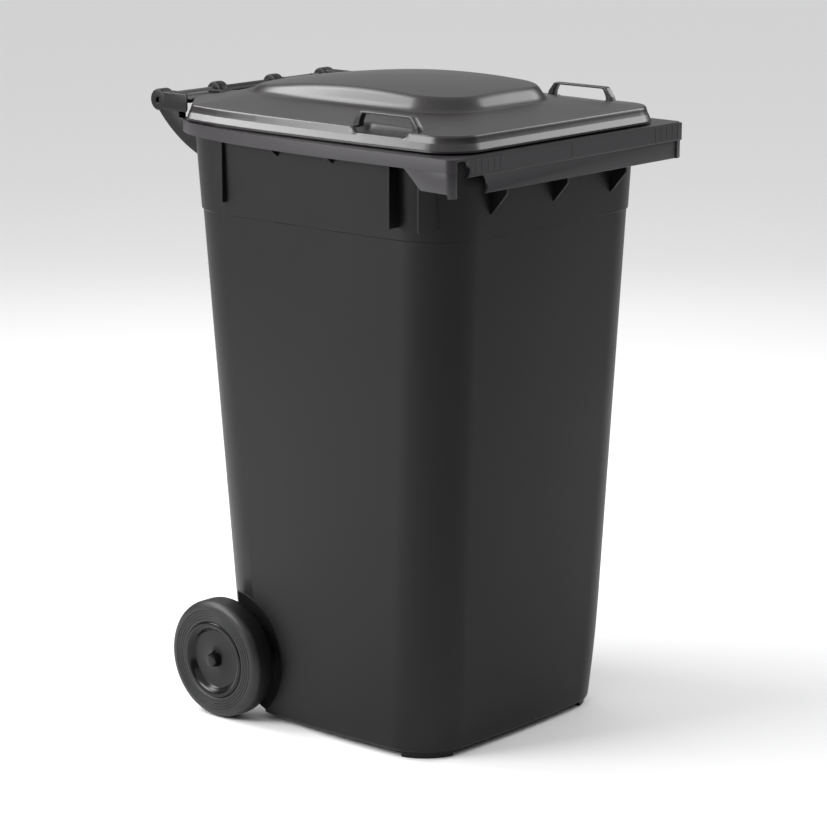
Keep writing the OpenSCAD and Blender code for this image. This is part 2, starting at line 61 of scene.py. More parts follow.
MM = 0.001
RIM_LOW, RIM_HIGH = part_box("lifting_rim")
LID_LOW, LID_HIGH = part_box("lid")
GRAB_LOW, GRAB_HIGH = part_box("lid_grab_right")
TYRE_LOW, TYRE_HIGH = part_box("tyre_right")
HUB_LOW, HUB_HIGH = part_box("wheel_hub_right")
PIN_LOW, PIN_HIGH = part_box("hinge_pin_right")
AXLE_LOW, AXLE_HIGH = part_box("axle")
HANDLE_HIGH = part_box("rear_handle")[1]
JOINTS = {joint["name"]: joint for joint in frame["joints"]}
HINGE = Vector(JOINTS["lid_hinge"]["pos_m"])
WHEEL = Vector(JOINTS["wheel_spin_right"]["pos_m"])
FAR = 1.0

# Sizes that pieces share, and the places of the rim's ribs and gussets
CORNER_BOX_ROUND = 13 * MM
MOUTH_INSET = 16 * MM
LIP_INSET = 12 * MM
BAR_RADIUS = 10 * MM
PIN_BORE = 5.1 * MM
AXLE_BORE = 10.1 * MM
BOSS_WIDTH = 24 * MM
LUG_IN, LUG_OUT = 58 * MM, 78 * MM
PIVOT_GAP = 0.6 * MM
LID_BACK = HINGE.y - 26.5 * MM
LID_BACK_HALF = 160 * MM
CORNER_RIB = RIM_LOW.y + 70 * MM
FRONT_RIB = RIM_LOW.y + 130 * MM
GUSSETS = (RIM_LOW.y + 262 * MM, RIM_LOW.y + 380 * MM)
FRONT_GUSSETS = (-150 * MM, 0, 150 * MM)
BACK_RIB_LEAD = 120 * MM

# Softboxes: name, azimuth and elevation in degrees, distance and size in metres, power in watts
SOFTBOXES = (
    ("left_softbox", -118, 26, 3.0, 1.6, 85),
    ("rear_left_softbox", -155, 44, 3.0, 1.2, 50),
    ("front_right_softbox", 66, 34, 3.0, 1.3, 30),
    ("rear_right_softbox", 131, 24, 3.5, 2.5, 6),
)


# ---------------------------------------------------------------- sizes and colours

def length(name, description, millimetres):
    """A size in the panel, given here in millimetres."""
    return FloatProperty(name=name, description=description, default=millimetres * MM, unit="LENGTH")


def colour(name, description, hex_value):
    """A colour in the panel, given here as an sRGB hex value."""
    return FloatVectorProperty(name=name, description=description, default=linear(hex_value), subtype="COLOR")


def linear(hex_value):
    """Linear RGB of an sRGB hex value such as "3a3639"."""
    shares = [int(hex_value[i:i + 2], 16) / 255 for i in (0, 2, 4)]
    return tuple(s / 12.92 if s <= 0.04045 else ((s + 0.055) / 1.055) ** 2.4 for s in shares)


class TubSizes(PropertyGroup):
    wall: length("Wall", "Thickness of the tub's wall", 4)
    half: length("Half width", "Half the tub's width at the rim", 262)
    front: length("Front wall", "Distance of the front wall from the comb's face, at the rim", 36)
    back: length("Back wall", "Distance of the back wall from the hinge axis, at the rim", 86.5)
    side_taper: length("Side taper", "How far each side leans in from rim to floor", 25)
    front_taper: length("Front taper", "How far the front leans in from rim to floor", 50)
    back_taper: length("Back taper", "How far the back leans in from rim to floor", 73)
    front_corner: length("Front corner", "Radius of the front upright corners", 88)
    back_corner: length("Back corner", "Radius of the back upright corners", 95)
    side_bow: length("Side bow", "How far each side bulges between its corners", 4)
    front_bow: length("Front bow", "How far the front bulges between its corners", 4)
    curl: length("Curl", "How far the walls turn in near the floor", 5)
    curl_height: length("Curl height", "Height below which the walls turn in", 200)
    base_round: length("Base rounding", "Radius between the walls and the floor", 7)
    foot: length("Foot", "Height of the front feet", 9)
    band_drop: length("Band", "Height of the reinforced band under the rim", 140)
    band_proud: length("Band step", "How far the reinforced band stands proud", 2.5)


class RimSizes(PropertyGroup):
    plate: length("Plate", "Thickness of the rim's plates", 4)
    band: length("Side band", "Height of the turned-down rim", 20)
    rounding: length("Rounding", "Radius along the rim's top edge", 6)
    comb: length("Comb", "Height of the lifting comb", 59)
    upper_band: length("Upper band", "Height of the comb's upper band", 30)
    upper_end: length("Upper end", "Distance of the upper band's end from the rim's side", 37)
    lower_end: length("Lower end", "Distance of the lower band's end from the rim's side", 82)
    set_back: length("Set-back", "How far the lower band is set back", 2.2)
    flute: length("Flute", "Width of a flute in the comb's face", 6)
    lip: length("Lip", "Height of the lip around the mouth", 9)
    rib_drop: length("Rib", "How far the long ribs reach down", 118)


class LidSizes(PropertyGroup):
    wall: length("Wall", "Thickness of the lid", 4)
    skirt: length("Skirt", "Height of the lid's skirt", 27)
    crown: length("Crown", "Rise from the skirt to the foot of the panel", 13)
    panel_half: length("Panel half width", "Half the width of the panel's foot", 153)
    panel_corner: length("Panel corner", "Radius of the panel's front corners", 92)
    panel_slope: length("Panel slope", "Width of the slope around the panel", 24)
    panel_front: length("Panel front", "Height of the panel's front edge above the skirt", 35)
    panel_middle: length("Panel middle", "Height of the panel's middle above the skirt", 46)
    panel_rear: length("Panel rear", "Height of the panel's rear edge above the skirt", 20.5)
    panel_dome: length("Panel dome", "How much lower the panel's sides are than its middle", 7)
    corner: length("Corner", "Radius of the lid's front corners", 62)
    notch: length("Notch", "Radius of the hand notch around the hinge axis", 82)
    pocket: length("Pocket", "Depth of the pocket under each grab", 11)
    mesh_step: length("Mesh step", "Spacing of the mesh on the lid's top", 5)


class WheelSizes(PropertyGroup):
    seat: length("Seat", "Radius at which the tyre sits on the hub", 65)
    shoulder: length("Shoulder", "Radius of the tyre's shoulders", 13)
    groove: length("Groove", "Depth of the grooves around the tyre's side", 0.9)
    knob: length("Knob", "Radius of the knob in the middle of the hub", 12)


class Finishes(PropertyGroup):
    # The body colour is a darker copy of the same HDPE as the rim: painted shade on the tub, the rim's ribs
    # and the handle
    body: colour("Body", "Colour of the body moulding", "0f0d0e")
    rim: colour("Rim", "Colour of the rim and the comb", "262326")
    lid: colour("Lid", "Colour of the lid moulding", "211e20")
    wheel: colour("Wheel", "Colour of the hubs", "0a0a0b")
    tyre: colour("Tyre", "Colour of the tyres", "0a0a0b")
    steel: colour("Steel", "Colour of zinc-plated steel", "b9bcc0")
    floor: colour("Floor", "Colour of the floor", "f4f4f5")


class StageSettings(PropertyGroup):
    azimuth: FloatProperty(name="Azimuth", description="Camera's bearing in degrees", default=-48.84)
    elevation: FloatProperty(name="Elevation", description="Camera's height in degrees", default=13.19)
    distance: length("Distance", "Camera's distance from its target", 5127.5)
    lens: FloatProperty(name="Lens", description="Focal length in mm on a 36 mm sensor", default=132.7)
    target: FloatVectorProperty(name="Target", description="Point that the camera looks at",
                                default=(0.0424, 0.0025, 0.4892), subtype="TRANSLATION")


# ---------------------------------------------------------------- mesh helpers

def rounded(corners, turn=9):
    """Closed outline through corners (x, y, radius), each rounded with an arc of a point every few degrees."""
    outline = []
    count = len(corners)
    for i, (x, y, radius) in enumerate(corners):
        here = Vector((x, y))
        before = (Vector(corners[i - 1][:2]) - here).normalized()
        after = (Vector(corners[(i + 1) % count][:2]) - here).normalized()
        half = math.acos(max(-1, min(1, before.dot(after)))) / 2
        if radius <= 0 or half > math.radians(89.9):
            outline.append(here)
            continue
        centre = here + (before + after).normalized() * radius / math.sin(half)
        start = here + before * radius / math.tan(half) - centre
        end = here + after * radius / math.tan(half) - centre
        sweep = start.angle_signed(end, 0)
        steps = max(2, round(abs(math.degrees(sweep)) / turn))
        outline += [centre + Matrix.Rotation(-sweep * k / steps, 2) @ start for k in range(steps + 1)]
    return outline


def prism(bm, outline, low, high, axis="Z"):
    """Closed prism; its outline is (y, z) across X, (x, z) across Y or (x, y) across Z."""
    place = {
        "X": lambda p, at: (at, p[0], p[1]),
        "Y": lambda p, at: (p[0], at, p[1]),
        "Z": lambda p, at: (p[0], p[1], at),
    }[axis]
    base = bm.faces.new([bm.verts.new(place(p, low)) for p in outline])
    top = bmesh.ops.extrude_face_region(bm, geom=[base])["geom"]
    moved = [g for g in top if isinstance(g, bmesh.types.BMVert)]
    shift = Vector(place((0, 0), high)) - Vector(place((0, 0), low))
    bmesh.ops.translate(bm, verts=moved, vec=shift)
    bmesh.ops.recalc_face_normals(bm, faces=bm.faces)


def block(bm, low, high):
    """Box between two corners."""
    low, high = Vector(low), Vector(high)
    size = high - low
    matrix = Matrix.Translation((low + high) / 2) @ Matrix.Diagonal((*size, 1))
    return bmesh.ops.create_cube(bm, size=1, matrix=matrix)["verts"]


def spun(bm, profile, centre, steps=96):
    """Solid of revolution around a line along X: profile points are (distance along X, radius)."""
    verts = [bm.verts.new((x, centre[1], centre[2] + r)) for x, r in profile]
    edges = [bm.edges.new(pair) for pair in zip(verts, verts[1:])]
    bmesh.ops.spin(bm, geom=verts + edges, cent=(0, centre[1], centre[2]), axis=(1, 0, 0),
                   angle=math.tau, steps=steps, use_merge=True)
    bmesh.ops.remove_doubles(bm, verts=bm.verts, dist=1e-6)
    bmesh.ops.holes_fill(bm, edges=[e for e in bm.edges if e.is_boundary], sides=0)
    bmesh.ops.recalc_face_normals(bm, faces=bm.faces)


def cut_at(bm, axis, places, keep=None):
    """Edge loops at several places along an axis, across the whole mesh or the faces that keep accepts."""
    normal = Vector((axis == "X", axis == "Y", axis == "Z"))
    for place in places:
        faces = [f for f in bm.faces if keep is None or keep(f)]
        verts = {v for f in faces for v in f.verts}
        edges = {e for f in faces for e in f.edges}
        bmesh.ops.bisect_plane(bm, geom=[*verts, *edges, *faces], plane_co=normal * place, plane_no=normal,
                               dist=1e-6)


def spread(low, high, step):
    """Evenly spaced places strictly between two ends."""
    count = max(1, round((high - low) / step))
    return [low + (high - low) * i / count for i in range(1, count)]


def lowest(edge):
    """Height of an edge's lower end."""
    return min(v.co.z for v in edge.verts)


def rearmost(edge):
    """Place along Y of an edge's rear end."""
    return max(v.co.y for v in edge.verts)


def width(edge):
    """How far an edge reaches along X."""
    return abs(edge.verts[0].co.x - edge.verts[1].co.x)


def soften(bm, offset, segments=2, angle=35, keep=None):
    """Rounds the edges that are sharper than an angle, all of them or those that keep accepts."""
    edges = [e for e in bm.edges if len(e.link_faces) == 2 and e.calc_face_angle(0) > math.radians(angle)]
    if keep:
        edges = [e for e in edges if keep(e)]
    bmesh.ops.bevel(bm, geom=edges, offset=offset, segments=segments, profile=0.5, affect="EDGES",
                    clamp_overlap=True, material=-1)


def added(name, data):
    """A new object in the scene."""
    thing = bpy.data.objects.new(name, data)
    bpy.context.scene.collection.objects.link(thing)
    return thing


def combined(bm, other, operation):
    """Boolean of two solids. The first one is changed and the second is used up."""
    holders = []
    for source in (bm, other):
        mesh = bpy.data.meshes.new("scratch")
        source.to_mesh(mesh)
        holders.append(added("scratch", mesh))
    modifier = holders[0].modifiers.new("cut", "BOOLEAN")
    modifier.object = holders[1]
    modifier.operation = operation
    modifier.solver = "EXACT"
    graph = bpy.context.evaluated_depsgraph_get()
    result = bpy.data.meshes.new_from_object(holders[0].evaluated_get(graph))
    bm.clear()
    bm.from_mesh(result)
    other.free()
    bpy.data.meshes.remove(result)
    for holder in holders:
        mesh = holder.data
        bpy.data.objects.remove(holder)
        bpy.data.meshes.remove(mesh)
    if not bm.faces:
        raise RuntimeError("a boolean left nothing")


def joined(bm, other):
    """Adds another mesh, which is used up."""
    mesh = bpy.data.meshes.new("scratch")
    other.to_mesh(mesh)
    other.free()
    bm.from_mesh(mesh)
    bpy.data.meshes.remove(mesh)


def mirrored(bm):
    """Adds the mirror image across the middle of the bin."""
    copy = bmesh.ops.duplicate(bm, geom=bm.verts[:] + bm.edges[:] + bm.faces[:])["geom"]
    faces = [g for g in copy if isinstance(g, bmesh.types.BMFace)]
    verts = [g for g in copy if isinstance(g, bmesh.types.BMVert)]
    bmesh.ops.scale(bm, verts=verts, vec=(-1, 1, 1))
    bmesh.ops.reverse_faces(bm, faces=faces)


def turned_over(bm):
    """Moves a mesh to the other side of the bin."""
    bmesh.ops.scale(bm, verts=bm.verts, vec=(-1, 1, 1))
    bmesh.ops.reverse_faces(bm, faces=bm.faces)


def ease(share, blend=0.2):
    """Ramp from 0 to 1 with rounded ends."""
    share = max(0.0, min(1.0, share))
    slope = 2 * blend * (1 - blend)
    if share < blend:
        return share * share / slope
    if share > 1 - blend:
        return 1 - (1 - share) ** 2 / slope
    return (share - blend / 2) / (1 - blend)


def piece(name, bm, body, material, replaced=(), sharp=32):
    """Finishes a mesh as a named piece that rides on a body of the bin."""
    for face in bm.faces:
        face.smooth = True
    for edge in bm.edges:
        edge.smooth = edge.calc_face_angle(0) < math.radians(sharp)
    mesh = bpy.data.meshes.new(name)
    bm.to_mesh(mesh)
    bm.free()
    mesh.materials.append(material)
    thing = added(name, mesh)
    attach(thing, body)
    if replaced:
        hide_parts(*replaced)


# ---------------------------------------------------------------- shapes of the body

def tub_level(tub, z):
    """Half width, front and back of the tub at a height."""
    lean = 1 - z / RIM_HIGH.z
    curl = tub.curl * (1 - z / tub.curl_height) ** 2 if z < tub.curl_height else 0
    front = RIM_LOW.y + tub.front + tub.front_taper * lean + curl
    back = HINGE.y - tub.back - tub.back_taper * lean - curl
    return tub.half - tub.side_taper * lean - curl, front, back


def tub_point(tub, point, inset):
    """Place on the tapered, bowed tub of a point on the straight block that has the rim's outline."""
    x, y, z = point
    half_0, front_0, back_0 = tub_level(tub, RIM_HIGH.z)
    half, front, back = tub_level(tub, z)
    radius = tub.front_corner if y < (front_0 + back_0) / 2 else tub.back_corner
    inner_0, inner = half_0 - radius, half - radius
    out_x = max(0, abs(x) - inner_0)
    new_x = inner + out_x * (radius - inset) / radius if out_x else abs(x) * inner / inner_0
    low_0, high_0 = front_0 + tub.front_corner, back_0 - tub.back_corner
    low, high = front + tub.front_corner, back - tub.back_corner
    share = (y - low_0) / (high_0 - low_0)
    if share < 0:
        new_y = low - (low_0 - y) * (tub.front_corner - inset) / tub.front_corner
        side = min(1, abs(new_x) / inner)
        new_y -= tub.front_bow * (1 - side ** 2) * (low_0 - y) / tub.front_corner
    elif share > 1:
        new_y = high + (y - high_0) * (tub.back_corner - inset) / tub.back_corner
    else:
        new_y = low + share * (high - low)
        new_x += tub.side_bow * 4 * share * (1 - share) * out_x / radius
    return Vector((math.copysign(new_x, x), new_y, z))


def tub_form(tub, low, high, inset=0.0, levels=(), base_round=0.0, proud_from=None):
    """Closed solid with the tub's outline between two heights."""
    bm = bmesh.new()
    half, front, back = tub_level(tub, RIM_HIGH.z)
    block(bm, (-half, front, low), (half, back, high))
    for near, radius in ((front, tub.front_corner), (back, tub.back_corner)):
        upright = [e for e in bm.edges
                   if abs(e.verts[0].co.z - e.verts[1].co.z) > (high - low) / 2
                   and abs(e.verts[0].co.y - near) < MM and abs(abs(e.verts[0].co.x) - half) < MM]
        bmesh.ops.bevel(bm, geom=upright, offset=radius, segments=18, profile=0.5, affect="EDGES",
                        material=-1)
    cut_at(bm, "X", spread(tub.front_corner - half, half - tub.front_corner, 24 * MM))
    cut_at(bm, "Y", spread(front + tub.front_corner, back - tub.back_corner, 24 * MM))
    rounding = [base_round * s for s in (0.04, 0.14, 0.3, 0.55, 0.8, 1)] if base_round else []
    cut_at(bm, "Z", [low + r for r in rounding] + [z for z in levels if low + base_round < z < high])
    for vert in bm.verts:
        rise = vert.co.z - low
        left = max(0, base_round - rise)
        tuck = base_round - math.sqrt(max(0, base_round ** 2 - left ** 2))
        proud = tub.band_proud * ease((vert.co.z - proud_from) / (2 * MM)) if proud_from else 0
        vert.co = tub_point(tub, vert.co, inset + tuck - proud)
    return bm


def well_cutter(grow=0.0):
    """Room that the right wheel takes in the tub's side, with a flared edge."""
    bm = bmesh.new()
    depth = TYRE_LOW.x - 9 * MM
    radius = TYRE_HIGH.z / 2 + 12 * MM
    flare = [(depth + 6 * MM + 12 * MM * s, radius + 22 * MM * (1 - math.sqrt(1 - s * s)))
             for s in (0, 0.3, 0.6, 0.85)]
    profile = [(depth - grow, 0), (depth - grow, radius - 6 * MM + grow),
               (depth - grow + 2 * MM, radius - 1.5 * MM + grow)]
    profile += [(x, r + grow) for x, r in flare]
    profile += [(FAR / 2, radius + 20 * MM + grow), (FAR / 2, 0)]
    spun(bm, profile, WHEEL, steps=128)
    return bm


def heel_outline(tub, grow=0.0):
    """Side view (y, z) of what the rounded heel behind the wheels leaves away."""
    radius = WHEEL.z + 15 * MM
    near = WHEEL.y - WHEEL.z
    centre = Vector((near, tub.foot + radius))
    arc = [centre + (radius - grow) * Vector((math.sin(math.radians(a)), -math.cos(math.radians(a))))
           for a in range(0, 91, 5)]
    top = WHEEL.z + 60 * MM + grow
    return [(near, -FAR), *arc, (near + radius + 24 * MM - grow, top), (FAR, top), (FAR, -FAR)]


def bay_outline(grow=0.0):
    """Side view (y, z) of the open bay that the axle crosses."""
    front = WHEEL.y - 58 * MM - grow
    top = WHEEL.z + 60 * MM + grow
    return rounded([(front, -FAR / 2, 0), (front + 12 * MM, WHEEL.z, 20 * MM),
                    (WHEEL.y - 22 * MM - grow, top - 14 * MM, 20 * MM),
                    (WHEEL.y + 40 * MM, top, 20 * MM), (FAR, top, 0), (FAR, -FAR / 2, 0)])


def rim_outline(tub):
    """Plan outline (x, y) of the rim: straight comb in front, bulging sides, narrow tail at the back."""
    side = RIM_HIGH.x - 4 * MM
    front = RIM_LOW.y
    back = HINGE.y - tub.back
    tail = HANDLE_HIGH.x
    right = [(side, front, CORNER_BOX_ROUND), (side + 3 * MM, front + 170 * MM, 6500 * MM),
             (side + 2 * MM, front + 330 * MM, 1800 * MM),
             (side - 14 * MM, back - BACK_RIB_LEAD, 510 * MM), (side - 42 * MM, back - 22 * MM, 190 * MM),
             (tail + 1 * MM, back + 33 * MM, 14 * MM), (tail - 8 * MM, back + 15 * MM, 6 * MM)]
    left = [(-x, y, r) for x, y, r in reversed(right)]
    return rounded([(x, y, r) for x, y, r in right + left], turn=7)


# ---------------------------------------------------------------- operators

class BIN_OT_tub(Operator):
    """Tapered shell with its stepped floor, wheel recesses, axle webs and front feet"""
    bl_idname = "bin.tub"
    bl_label = "Tub"

    def execute(self, context):
        tub, rim = context.scene.bin_tub, context.scene.bin_rim
        band = RIM_HIGH.z - tub.band_drop
        levels = [30 * MM, 50 * MM, 80 * MM, 110 * MM, 140 * MM, 170 * MM, tub.curl_height, 330 * MM,
                  460 * MM, 590 * MM, 720 * MM, band, band + 0.7 * MM, band + 1.3 * MM, band + 2 * MM]
        top = RIM_HIGH.z - rim.plate / 2
        outer = tub_form(tub, tub.foot, top, levels=levels, base_round=tub.base_round, proud_from=band)
        cavity = tub_form(tub, tub.foot + tub.wall, RIM_HIGH.z, inset=tub.wall, levels=levels,
                          base_round=tub.base_round)
        for solid, grow in ((outer, 0.0), (cavity, tub.wall)):
            heel = bmesh.new()
            prism(heel, heel_outline(tub, grow), -FAR, FAR, axis="X")
            combined(solid, heel, "DIFFERENCE")
            well = well_cutter(grow)
            mirrored(well)
            combined(solid, well, "DIFFERENCE")
        web_half, web = 87 * MM, 6 * MM
        inner_side = TYRE_LOW.x - 17 * MM
        bays = ((web_half + web, inner_side), (-web_half, web_half), (-inner_side, -web_half - web))
        for low, high in bays:
            bay = bmesh.new()
            prism(bay, bay_outline(), low, high, axis="X")
            combined(outer, bay, "DIFFERENCE")
        bay = bmesh.new()
        prism(bay, bay_outline(tub.wall), -FAR, FAR, axis="X")
        combined(cavity, bay, "DIFFERENCE")
        combined(outer, cavity, "DIFFERENCE")
        bore = bmesh.new()
        spun(bore, [(-FAR, 0), (-FAR, AXLE_BORE), (FAR, AXLE_BORE), (FAR, 0)], WHEEL, steps=48)
        combined(outer, bore, "DIFFERENCE")
        self.feet(outer, tub)
        piece("tub_shell", outer, "bin", shaded_body_plastic(context), ["tub"])
        return {"FINISHED"}

    def feet(self, bm, tub):
        """Rounded quarter pads under the front corners."""
        half, front = tub_level(tub, tub.foot)[:2]
        radius = tub.front_corner - 6 * MM
        centre = Vector((half - tub.front_corner, front + tub.front_corner, 0))
        pad = bmesh.new()
        bmesh.ops.create_circle(pad, cap_ends=True, segments=96, radius=radius,
                                matrix=Matrix.Translation(centre))
        top = bmesh.ops.extrude_face_region(pad, geom=pad.faces[:])["geom"]
        raised = [g for g in top if isinstance(g, bmesh.types.BMVert)]
        bmesh.ops.translate(pad, verts=raised, vec=(0, 0, tub.foot + 2 * MM))
        bmesh.ops.recalc_face_normals(pad, faces=pad.faces)
        room = bmesh.new()
        corner = centre + Vector((20 * MM, -20 * MM, 0))
        block(room, (corner.x, corner.y - 3 * radius, -FAR), (corner.x + 3 * radius, corner.y, FAR))
        combined(pad, room, "INTERSECT")
        soften(pad, 3 * MM, segments=3, keep=lambda e: max(v.co.z for v in e.verts) < MM)
        mirrored(pad)
        joined(bm, pad)


class BIN_OT_rim(Operator):
    """Turned-down rim with the lip around the mouth, the lifting comb, its pocket, ribs and gussets"""
    bl_idname = "bin.rim"
    bl_label = "Rim and comb"

    def execute(self, context):
        tub, rim = context.scene.bin_tub, context.scene.bin_rim
        top = RIM_HIGH.z
        bm = bmesh.new()
        prism(bm, rim_outline(tub), top - rim.band, top)
        soften(bm, rim.rounding, segments=6, angle=60, keep=lambda e: lowest(e) > top - MM)
        under = [f for f in bm.faces if f.normal.z < -0.9]
        bmesh.ops.inset_region(bm, faces=under, thickness=rim.plate, depth=rim.plate - rim.band,
                               use_even_offset=True)
        mouth = tub_form(tub, top - 2 * rim.band, top + rim.band, inset=MOUTH_INSET)
        combined(bm, mouth, "DIFFERENCE")
        self.pocket(bm, rim)
        lip = tub_form(tub, top - rim.plate / 2, top + rim.lip, inset=LIP_INSET)
        inside = tub_form(tub, top - rim.band, top + rim.band, inset=MOUTH_INSET - 0.5 * MM)
        combined(lip, inside, "DIFFERENCE")
        soften(lip, 1.5 * MM, segments=2, angle=60, keep=lambda e: lowest(e) > top + rim.lip - MM)
        joined(bm, lip)
        self.comb(bm, rim)
        finish = plastic("moulded_HDPE_rim", context.scene.bin_finishes.rim, 0.38, sheen=0.5)
        piece("rim_and_comb", bm, "bin", finish, ["lifting_rim"])
        # The ribs and gussets belong to the rim moulding but take the darker body plastic: painted shade under
        # the rim
        ribs = bmesh.new()
        self.ribs(ribs, tub, rim)
        piece("rim_ribs", ribs, "bin", shaded_body_plastic(context))
        return {"FINISHED"}

    def comb(self, bm, rim):
        """Two stepped bands with hollowed left ends, and the rounded side boxes."""
        side, front, top = RIM_HIGH.x - 4 * MM, RIM_LOW.y, RIM_HIGH.z
        low, step = top - rim.comb, top - rim.upper_band
        upper, lower = side - rim.upper_end, side - rim.lower_end
        band = bmesh.new()
        outline = self.band_outline(upper, side - MM, step, top - 1.5 * MM)
        prism(band, outline, front - 0.4 * MM, front + 6 * MM, axis="Y")
        soften(band, 1.1 * MM, segments=2, angle=50, keep=lambda e: rearmost(e) < front)
        ahead, flute_low, flute_high = front - 2 * MM, step + 3 * MM, top - 3.5 * MM
        seam, half_flute = 0.4 * MM, rim.flute / 2
        flutes = bmesh.new()
        for end, sign in ((upper, -1), (side, 1)):
            for n in range(5):
                x = sign * (end - (16 + 15 * n) * MM)
                block(flutes, (x - half_flute, ahead, flute_low),
                      (x + half_flute, front - 0.15 * MM, flute_high))
        block(flutes, (-seam, ahead, flute_low), (seam, front + 0.2 * MM, flute_high))
        combined(band, flutes, "DIFFERENCE")
        joined(bm, band)
        band = bmesh.new()
        face = front + rim.set_back
        outline = self.band_outline(lower, side - 2 * MM, low, step + 2 * MM)
        prism(band, outline, face, front + 7 * MM, axis="Y")
        soften(band, 1.5 * MM, segments=3, angle=50, keep=lambda e: rearmost(e) < face + MM)
        joined(bm, band)
        for sign in (-1, 1):
            joined(bm, self.side_box(rim, sign))

    def band_outline(self, left, right, low, high):
        """Front view (x, z) of a band; its left end is hollowed between the lower tip and the plate above."""
        hollow, overhang, steps = 7 * MM, 5 * MM, 8
        shares = [k / steps for k in range(steps + 1)]
        end = [(hollow * math.sin(math.pi * s) ** 0.7 - left - overhang * s ** 3, low + (high - low) * s)
               for s in shares]
        return [(right, low), (right, high)] + end[::-1]

    def side_box(self, rim, sign):
        """Plate that turns the comb's corner, with its lower edge cut up towards the back."""
        side, front, top = RIM_HIGH.x - 4 * MM, RIM_LOW.y, RIM_HIGH.z
        low, reach, turn = top - rim.comb, front + 95 * MM, CORNER_BOX_ROUND
        inner = side - rim.plate
        flat, behind = side - turn - MM, front + rim.plate
        plan = rounded([(side, reach, 0), (side, front, turn), (flat, front, 0), (flat, behind, 0),
                        (inner, behind, turn - rim.plate), (inner, reach, 0)], turn=6)
        box = bmesh.new()
        prism(box, plan, low, top - rim.rounding)
        cut = bmesh.new()
        below, raised = low - FAR / 20, low + 38 * MM
        under = rounded([(front + 7 * MM, below, 0), (front + 8 * MM, low + 7 * MM, 4 * MM),
                         (front + 61 * MM, low + 8 * MM, 8 * MM), (front + 93 * MM, raised, 6 * MM),
                         (reach + MM, raised, 0), (reach + MM, below, 0)])
        prism(cut, under, side - 40 * MM, side + 5 * MM, axis="X")
        combined(box, cut, "DIFFERENCE")
        soften(box, 0.8 * MM, segments=2, angle=60)
        if sign < 0:
            turned_over(box)
        return box

    def pocket(self, bm, rim):
        """Rounded opening between the left side box and the ends of the two bands."""
        side, front, top = RIM_HIGH.x - 4 * MM, RIM_LOW.y, RIM_HIGH.z
        low, high, turn = top - rim.upper_band - FAR / 20, top - rim.plate + 0.3 * MM, 5 * MM
        near, away = CORNER_BOX_ROUND - side, rim.upper_end + 12 * MM - side
        outline = rounded([(near, low, 0), (away, low, 0), (away, high, turn), (near, high, turn)])
        room = bmesh.new()
        prism(room, outline, front - 5 * MM, front + 20 * MM, axis="Y")
        combined(bm, room, "DIFFERENCE")

    def ribs(self, bm, tub, rim):
        """Long ribs, small side gussets and front gussets; the corner rib is on the left only."""
        side, front, top = RIM_HIGH.x - 4 * MM, RIM_LOW.y, RIM_HIGH.z
        back_rib = HINGE.y - tub.back - BACK_RIB_LEAD
        inner, reach = tub.half - tub.side_taper, side - 5 * MM
        half_rib = rim.plate / 2
        low, high = top - rim.rib_drop, top - half_rib
        for y, end in ((FRONT_RIB, reach), (back_rib, reach - 14 * MM)):
            block(bm, (inner, y - half_rib, low), (end, y + half_rib, high))
        gusset_low = top - 36 * MM
        for y in GUSSETS:
            outline = [(inner, gusset_low), (tub.half, gusset_low), (reach, top - rim.band), (reach, high),
                       (inner, high)]
            prism(bm, outline, y - half_rib, y + half_rib, axis="Y")
        mirrored(bm)
        block(bm, (-reach, CORNER_RIB - half_rib, low), (-inner, CORNER_RIB + half_rib, high))
        wall = front + tub.front
        foot, tip = top - 102 * MM, top - 68 * MM
        for x in FRONT_GUSSETS:
            outline = [(wall + 6 * MM, foot), (wall, foot), (front + 6 * MM, tip), (front + 6 * MM, high),
                       (wall + 6 * MM, high)]
            prism(bm, outline, x - half_rib, x + half_rib, axis="X")
        soften(bm, 0.6 * MM, segments=1)


